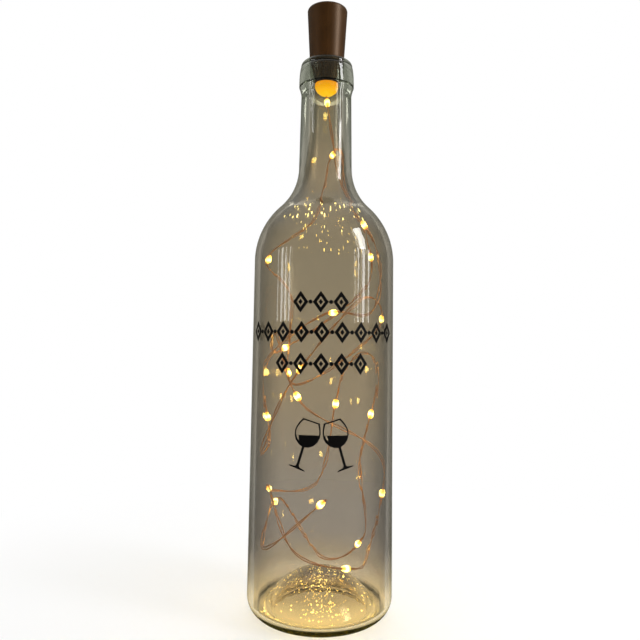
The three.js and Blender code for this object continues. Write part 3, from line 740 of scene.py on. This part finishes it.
# %% Plastic finish
def moulded_plastic(name, dark, light, gloss, roughness, grain):
    """Dyed plastic with a moulded grain; grain is its width in millimetres."""
    material, tree = new_material(name)
    place = add_node(tree, "ShaderNodeTexCoord").outputs["Object"]
    cloud = add_node(tree, "ShaderNodeTexNoise", {"Vector": place, "Scale": 1 / (8 * MM), "Detail": 3})
    tone = add_node(
        tree, "ShaderNodeMix", {"Factor": cloud.outputs[0], "A": colour(dark), "B": colour(light)}, data_type="RGBA"
    )
    pores = add_node(tree, "ShaderNodeTexNoise", {"Vector": place, "Scale": 1 / (grain * MM), "Detail": 2})
    bump = add_node(tree, "ShaderNodeBump", {"Height": pores.outputs[0], "Strength": 0.25, "Distance": 0.05 * MM})
    satin = add_node(
        tree, "ShaderNodeMapRange",
        {"Value": pores.outputs[0], "To Min": roughness - 0.06, "To Max": roughness + 0.06},
    )
    skin = add_node(
        tree, "ShaderNodeBsdfPrincipled",
        {"Base Color": tone.outputs["Result"], "Roughness": satin.outputs[0], "IOR": 1.53,
         "Specular IOR Level": 0.62, "Specular Tint": colour(gloss), "Normal": bump.outputs[0]},
    )
    add_node(tree, "ShaderNodeOutputMaterial", {"Surface": skin.outputs[0]})
    print(name, "nodes:", len(tree.nodes))
    return material


brown_abs = moulded_plastic("brown_abs", "#301a02", "#472a0a", "#e6c4a4", roughness=0.4, grain=0.33)
black_nylon = moulded_plastic("black_nylon", "#121110", "#201f1d", "#ffffff", roughness=0.5, grain=0.25)

# %% [markdown]
# ## Handle
# The handle is shaped like a cork: wider at the top, with a rounded rim. It slips over the battery barrel, so
# it is a hollow cap. Two half moulds leave a fine raised seam down the front and back. The slot for the
# switch is cut from the top with a Boolean, as a mould's pin would leave it.

# %% Handle
HANDLE_FOOT, RIM_HEIGHT, HANDLE_TOP = 294.3, 323.8, 325.4
FOOT_RADIUS, FLARE, RIM_ROUND, HOLLOW = 9.5, 1.7, 1.6, 8.2
SEAM = 0.12 * MM

profile = [
    (0, 322.7), (5.98, 322.7), (5.98, 318.8), (HOLLOW, 318.8), (HOLLOW, 294.5), (8.4, HANDLE_FOOT),
    (9.3, HANDLE_FOOT), (9.48, 294.5),
    *[(FOOT_RADIUS + FLARE * (height - HANDLE_FOOT) / (RIM_HEIGHT - HANDLE_FOOT), height)
      for height in range(296, 323, 2)],
    *arc(FOOT_RADIUS + FLARE - RIM_ROUND, RIM_HEIGHT, RIM_ROUND, 0, 90, 10), (6, HANDLE_TOP), (0, HANDLE_TOP),
]
shape = lathe(profile, 144)
for vert in shape.verts:
    radius = math.hypot(vert.co.x, vert.co.y)
    if radius > 9.2 * MM and 295 * MM < vert.co.z < 325 * MM and abs(vert.co.x) < 0.1 * MM:
        vert.co.x *= 1 + SEAM / radius
        vert.co.y *= 1 + SEAM / radius
handle = make_piece("cork_handle", shape, brown_abs)
print("handle, mm across at the top:", 2 * (FOOT_RADIUS + FLARE))

# %% Slot for the switch
SLOT_LONG, SLOT_WIDE, SLOT_DEEP, SLOT_HEIGHT = 4.6, 2.3, 6, 324

shape = bmesh.new()
pin_size = Matrix.Diagonal((SLOT_LONG * MM, SLOT_WIDE * MM, SLOT_DEEP * MM, 1))
bmesh.ops.create_cube(shape, size=1, matrix=Matrix.Translation((0, 0, SLOT_HEIGHT * MM)) @ pin_size)
pin = make_piece("slot_pin", shape, brown_abs)
cut = handle.modifiers.new("Slot", "BOOLEAN")
cut.object, cut.operation, cut.solver = pin, "DIFFERENCE", "EXACT"
cut_mesh = bpy.data.meshes.new_from_object(handle.evaluated_get(bpy.context.evaluated_depsgraph_get()))
cut_mesh.set_sharp_from_angle(angle=math.radians(CREASE))
handle.modifiers.clear()
handle.data = cut_mesh
bpy.data.objects.remove(pin)
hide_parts("handle_cover")
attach(handle, "handle")
print("handle faces:", len(handle.data.polygons))

# %% [markdown]
# ## Sealant
# A dome of clear amber hot-melt glue holds the wire under the plug. The first lamp's light on it from below
# is painted on as a glow, yellow at its tip and amber above. The painted glow is stronger behind the grey
# glass than where the eye meets it bare, with the stopper lifted. The dome was poured, so it is not quite round.

# %% Sealant finish
GLUE_PAINTED_GLOW = ((0.1, "#ffe400"), (1.0, "#f0ac00"))

amber_glue, tree = new_material("amber_glue")
place = add_node(tree, "ShaderNodeTexCoord").outputs["Object"]
height = add_node(tree, "ShaderNodeSeparateXYZ", {0: place}).outputs["Z"]
share = add_node(tree, "ShaderNodeMapRange", {"Value": height, "From Min": 276 * MM, "From Max": 282 * MM})
# Painted light: the first lamp's glow on the glue, yellow low on the dome and amber higher up.
glow = add_node(tree, "ShaderNodeValToRGB", {"Fac": share.outputs[0]}, stops=GLUE_PAINTED_GLOW)
bare = add_node(tree, "ShaderNodeLightPath").outputs["Is Camera Ray"]
power = add_node(tree, "ShaderNodeMapRange", {"Value": bare, "To Min": 1.9, "To Max": 0.35})
glue = add_node(
    tree, "ShaderNodeBsdfPrincipled",
    {"Base Color": colour("#c85100"), "Roughness": 0.22, "IOR": 1.48, "Transmission Weight": 0.25,
     "Emission Color": glow.outputs["Color"], "Emission Strength": power.outputs[0]},
)
add_node(tree, "ShaderNodeOutputMaterial", {"Surface": glue.outputs[0]})
print("glue nodes:", len(tree.nodes))

# %% Sealant
SEAL_RADIUS, SEAL_TOP, SEAL_DEPTH = 6.9, 281.7, 5.7
PEG, PEG_TOP = 1.4, 284.4

quarter = [math.pi / 2 * i / 14 for i in range(15)]
profile = [(SEAL_RADIUS * math.sin(t), SEAL_TOP - SEAL_DEPTH * math.cos(t)) for t in quarter]
shape = lathe([*profile, (PEG, SEAL_TOP), (PEG, PEG_TOP), (0, PEG_TOP)], 48)
for vert in shape.verts:
    if vert.co.z < (SEAL_TOP - 0.1) * MM:
        turn = math.atan2(vert.co.y, vert.co.x)
        swell = 1 + 0.035 * math.sin(2 * turn + 0.6) + 0.02 * math.sin(3 * turn)
        vert.co.x, vert.co.y = vert.co.x * swell, vert.co.y * swell
seal = make_piece("amber_seal", shape, amber_glue)
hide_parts("wire_seal")
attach(seal, "stopper")
print("seal faces:", len(seal.data.polygons))

# %% [markdown]
# ## Metal, board and small parts in the stopper
# The cells, spring, strip and contact are nickel-plated steel: a pale, slightly warm metal, brushed by
# handling. The board is glass fibre under green solder mask. Their CAD shapes are right, so they keep them
# and get a weld, small rounded edges and smooth normals by modifiers.

# %% Metal and board finishes
nickel_plate, tree = new_material("nickel_plate")
place = add_node(tree, "ShaderNodeTexCoord").outputs["Object"]
stretched = add_node(tree, "ShaderNodeMapping", {"Vector": place, "Scale": (1, 1, 12)})
scratches = add_node(
    tree, "ShaderNodeTexNoise", {"Vector": stretched.outputs[0], "Scale": 1 / (4 * MM), "Detail": 4}
)
worn = add_node(tree, "ShaderNodeMapRange", {"Value": scratches.outputs[0], "To Min": 0.16, "To Max": 0.42})
plate = add_node(
    tree, "ShaderNodeBsdfPrincipled", {"Base Color": colour("#c9c5bd"), "Metallic": 1, "Roughness": worn.outputs[0]}
)
add_node(tree, "ShaderNodeOutputMaterial", {"Surface": plate.outputs[0]})

solder_mask, tree = new_material("solder_mask")
place = add_node(tree, "ShaderNodeTexCoord").outputs["Object"]
weave = add_node(
    tree, "ShaderNodeTexChecker",
    {"Vector": place, "Scale": 1 / (0.6 * MM), "Color1": colour("#2a5a38"), "Color2": colour("#326642")},
)
mask = add_node(
    tree, "ShaderNodeBsdfPrincipled", {"Base Color": weave.outputs["Color"], "Roughness": 0.35, "Coat Weight": 0.3}
)
add_node(tree, "ShaderNodeOutputMaterial", {"Surface": mask.outputs[0]})
print("nickel and board nodes:", len(nickel_plate.node_tree.nodes), len(tree.nodes))

# %% CAD pieces that stay
FINISHES = (  # node, material, radius of its edges in millimetres
    ("plug_body", brown_abs, 0.15), ("button_cell_1", nickel_plate, 0.25), ("button_cell_2", nickel_plate, 0.25),
    ("button_cell_3", nickel_plate, 0.25), ("negative_strip", nickel_plate, 0.06),
    ("top_contact", nickel_plate, 0.06), ("battery_spring", nickel_plate, 0.02),
    ("switch_housing", nickel_plate, 0.15), ("switch_board", solder_mask, 0.08), ("switch_knob", black_nylon, 0.1),
    ("resistor", black_nylon, 0.1), ("inner_lead", enamelled_copper, 0.02),
)

for node, material, edge in FINISHES:
    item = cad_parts[node]
    item.data.materials.clear()
    item.data.materials.append(material)
    item.data.shade_smooth()
    weld = item.modifiers.new("Weld", "WELD")
    weld.merge_threshold = 1e-6
    round_off = item.modifiers.new("Edges", "BEVEL")
    round_off.width, round_off.segments, round_off.limit_method = edge * MM, 2, "ANGLE"
    round_off.angle_limit = math.radians(CREASE)
    item.modifiers.new("Normals", "WEIGHTED_NORMAL")
print("CAD pieces dressed:", len(FINISHES))

# %% [markdown]
# ## Print
# Vinyl film, cut by a plotter and rubbed onto the glass: black, nearly matt, a tenth of a millimetre thick.
# Each figure is drawn flat, filled, sliced into upright strips so that it can bend, given its thickness and
# then rolled round the bottle.

# %% Vinyl finish
black_vinyl, tree = new_material("black_vinyl")
place = add_node(tree, "ShaderNodeNewGeometry").outputs["Position"]
orange_peel = add_node(tree, "ShaderNodeTexNoise", {"Vector": place, "Scale": 1 / (0.8 * MM), "Detail": 2})
bump = add_node(
    tree, "ShaderNodeBump", {"Height": orange_peel.outputs[0], "Strength": 0.15, "Distance": 0.02 * MM}
)
sheen = add_node(tree, "ShaderNodeMapRange", {"Value": orange_peel.outputs[0], "To Min": 0.42, "To Max": 0.58})
film = add_node(
    tree, "ShaderNodeBsdfPrincipled",
    {"Base Color": colour("#0c0b0b"), "Roughness": sheen.outputs[0], "Specular IOR Level": 0.1,
     "Normal": bump.outputs[0]},
)
add_node(tree, "ShaderNodeOutputMaterial", {"Surface": film.outputs[0]})
print("vinyl nodes:", len(tree.nodes))

# %% Rolling film round the bottle
FILM, FILM_GAP = 0.1, 0.02
HALF_SHEET, SLICE = 45, 1.5


def roll_film(name, figures):
    """figures are lists of loops, each an outline and its holes, in millimetres across and up."""
    shape = bmesh.new()
    for loops in figures:
        edges = []
        for loop in loops:
            ring = [shape.verts.new((x, 0, z)) for x, z in loop]
            edges += [shape.edges.new(pair) for pair in zip(ring, ring[1:] + ring[:1])]
        bmesh.ops.triangle_fill(shape, edges=edges, use_beauty=True)
    for across in np.arange(-HALF_SHEET, HALF_SHEET + 0.1, SLICE):
        everything = shape.verts[:] + shape.edges[:] + shape.faces[:]
        bmesh.ops.bisect_plane(shape, geom=everything, dist=1e-5, plane_co=(across, 0, 0), plane_no=(1, 0, 0))
    grown = bmesh.ops.extrude_face_region(shape, geom=shape.faces[:])["geom"]
    for vert in grown:
        if isinstance(vert, bmesh.types.BMVert):
            vert.co.y = FILM
    for vert in shape.verts:
        radius, turn = BODY + FILM_GAP + vert.co.y, vert.co.x / BODY
        vert.co = (radius * math.sin(turn) * MM, -radius * math.cos(turn) * MM, vert.co.z * MM)
    piece = make_piece(name, shape, black_vinyl)
    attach(piece, "bottle")
    print(name, "faces:", len(piece.data.polygons))


# %% Rows of ornament
ROWS = ((-1.3, 158.7, 3), (-0.6, 144.1, 9), (-0.8, 128.9, 5))  # middle, height, lozenges
ORNAMENT_PITCH = 10


def lozenge(x, z, half_width, half_height):
    return [(x - half_width, z), (x, z - half_height), (x + half_width, z), (x, z + half_height)]


def dot(x, z, radius):
    return [(x + radius * math.cos(math.pi * k / 12), z + radius * math.sin(math.pi * k / 12)) for k in range(24)]


for row, (centre, height, count) in enumerate(ROWS, 1):
    figures = []
    for k in range(count):
        x = centre + ORNAMENT_PITCH * (k - (count - 1) / 2)
        figures.append([lozenge(x, height, 3.9, 5.3), lozenge(x, height, 2.0, 2.7)])
        figures.append([lozenge(x, height, 1.05, 1.45)])
        if k:
            figures.append([dot(x - ORNAMENT_PITCH / 2, height, 1.0)])
    roll_film(f"ornament_row_{row}", figures)

# %% [markdown]
# ## Clinking glasses
# The picture of two wine glasses leaning together is drawn as one glass and its mirror image. The outline
# is a bowl, stem and foot; the hole in it is the empty part of the bowl above the wine, whose surface stays
# level while the glass leans. A small wedge cut from the wine is the glint on the bowl.

# %% Clinking glasses
FOOT_X, FOOT_Z, LEAN, WINE, STROKE = -11.9, 79.2, 17, 95.1, 0.62
STEM = [(4.2, 0.1), (4.2, 0.5), (1.2, 1.1), (0.62, 1.9)]
BOWL = [(0.6, 10.8), (2.6, 11.4), (4.6, 12.9), (5.9, 15), (6.3, 17.2), (6.1, 19.2), (5.4, 21.3), (4.2, 23.8)]
GLINTS = (
    [(-12.2, 94.9), (-11.85, 93.7), (-10.9, 92.4), (-11.05, 93.5), (-11.1, 94.9)],
    [(1.6, 94.9), (2.05, 93.7), (3.2, 92.4), (3, 93.5), (2.7, 94.9)],
)


def whole(half):
    """A closed loop from its right half."""
    return half + [(-x, z) for x, z in half[::-1]]


def drawn_in(stroke):
    """Right half of the bowl, from its foot up to the rim, drawn in by the stroke's width."""
    foot, rim = BOWL[0][1], BOWL[-1][1]
    return [(max(x - stroke, 0.1), z + stroke * (1 - 2 * (z - foot) / (rim - foot))) for x, z in BOWL]


def lean_in(loop, side):
    """A loop of the glass on the left, for side 1, or of its mirror image, for side -1."""
    c, s = math.cos(math.radians(LEAN)), math.sin(math.radians(LEAN))
    return [(side * (FOOT_X + x * c + z * s), FOOT_Z - x * s + z * c) for x, z in loop]


def part_above(loop, level):
    """The part of a loop above a level line."""
    kept = []
    for (x0, z0), (x1, z1) in zip(loop, loop[1:] + loop[:1]):
        if z0 >= level:
            kept.append((x0, z0))
        if (z0 >= level) != (z1 >= level):
            kept.append((x0 + (x1 - x0) * (level - z0) / (z1 - z0), level))
    return kept


figures = []
for side, glint in zip((1, -1), GLINTS):
    outline = lean_in(whole(STEM + drawn_in(0)), side)
    empty = part_above(lean_in(whole(drawn_in(STROKE)), side), WINE)
    figures.append([outline, empty, glint])
roll_film("toast_print", figures)
